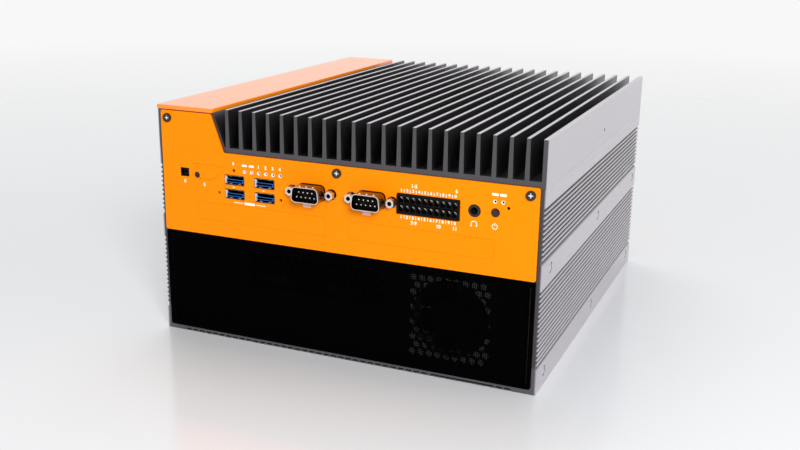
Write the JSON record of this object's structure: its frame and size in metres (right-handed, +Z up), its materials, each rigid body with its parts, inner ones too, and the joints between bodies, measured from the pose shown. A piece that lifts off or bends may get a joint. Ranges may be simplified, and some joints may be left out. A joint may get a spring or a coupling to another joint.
{
  "type": "fanless industrial pc",
  "caption": "Box-shaped industrial computer: finned heatsink lid over an orange socket panel, on a ribbed expansion chassis with a black dust filter and a small fan.",
  "frame": {"origin": "middle of the case's underside, level with the surface it stands on", "axes": "+X to the right seen from the front, +Y to the back, +Z up"},
  "size_m": [0.24, 0.2774, 0.1425],
  "materials": {
    "orange_paint": "smooth satin powder coat",
    "dark_anodised": "fine matt anodised extrusion",
    "grey_sheet": "matt grey paint",
    "black_mesh": "matt black",
    "black_plastic": "matt moulded plastic",
    "socket_metal": "bright nickel plate",
    "blue_plastic": "moulded plastic",
    "contact_metal": "plated contact",
    "clear_plastic": "clear light pipe",
    "board": "solder mask",
    "block_metal": "milled",
    "black_screw": "black oxide",
    "bright_screw": "bright zinc"
  },
  "bodies": {
    "case": {"heatsink": "dark_anodised", "top_cover": "orange_paint", "front_panel": "orange_paint", "rear_panel": "orange_paint", "upper_left_wall": "dark_anodised", "upper_right_wall": "dark_anodised", "lower_left_wall": "dark_anodised", "lower_right_wall": "dark_anodised", "bottom_tray": "grey_sheet", "dust_filter": "black_mesh", "inner_front_plate": "black_mesh", "deck": "grey_sheet", "fan_frame": "black_plastic", "rear_lower_plate": "black_mesh", "slot_covers": "socket_metal", "mainboard": "board", "board_posts": "contact_metal", "processor": "block_metal", "heat_spreader": "block_metal", "memory_sockets": "black_plastic", "memory_modules": "board", "storage_socket": "black_plastic", "storage_card": "board", "coin_cell": "bright_screw", "riser_card": "board", "riser_slots": "black_plastic", "usb_stack_left": "socket_metal", "usb_stack_right": "socket_metal", "usb_stack_rear": "socket_metal", "usb_tongues": "blue_plastic", "serial_shell_left": "socket_metal", "serial_shell_right": "socket_metal", "serial_insert_left": "black_plastic", "serial_insert_right": "black_plastic", "serial_pins": "contact_metal", "jackscrews": "socket_metal", "terminal_block": "black_plastic", "terminal_contacts": "contact_metal", "sound_socket": "black_plastic", "power_switch": "black_plastic", "reset_switch": "black_plastic", "port_lights": "clear_plastic", "status_lights": "clear_plastic", "remote_socket": "black_plastic", "remote_pins": "contact_metal", "card_cover": "orange_paint", "card_socket": "black_plastic", "card_cover_screw": "black_screw", "lan_ports_left": "socket_metal", "lan_ports_right": "socket_metal", "video_ports": "socket_metal", "power_inlet": "black_plastic", "panel_screws": "black_screw", "side_screws": "bright_screw", "cover_screws": "bright_screw", "slot_screws": "bright_screw"},
    "power_button": {"power_button": "black_plastic"},
    "reset_plunger": {"reset_plunger": "black_plastic"},
    "fan_rotor": {"fan_rotor": "black_plastic"}
  },
  "joints": [
    {"name": "power_button_push", "type": "slide", "parent": "case", "child": "power_button", "axis": [0, 1, 0], "range_m": [0, 0.0006], "stiffness_N_per_m": 4000},
    {"name": "reset_push", "type": "slide", "parent": "case", "child": "reset_plunger", "axis": [0, 1, 0], "range_m": [0, 0.0004], "stiffness_N_per_m": 4000},
    {"name": "fan_spin", "type": "hinge", "parent": "case", "child": "fan_rotor", "pos_m": [0.067, -0.1265, 0.034], "axis": [0, 1, 0], "continuous": true}
  ]
}
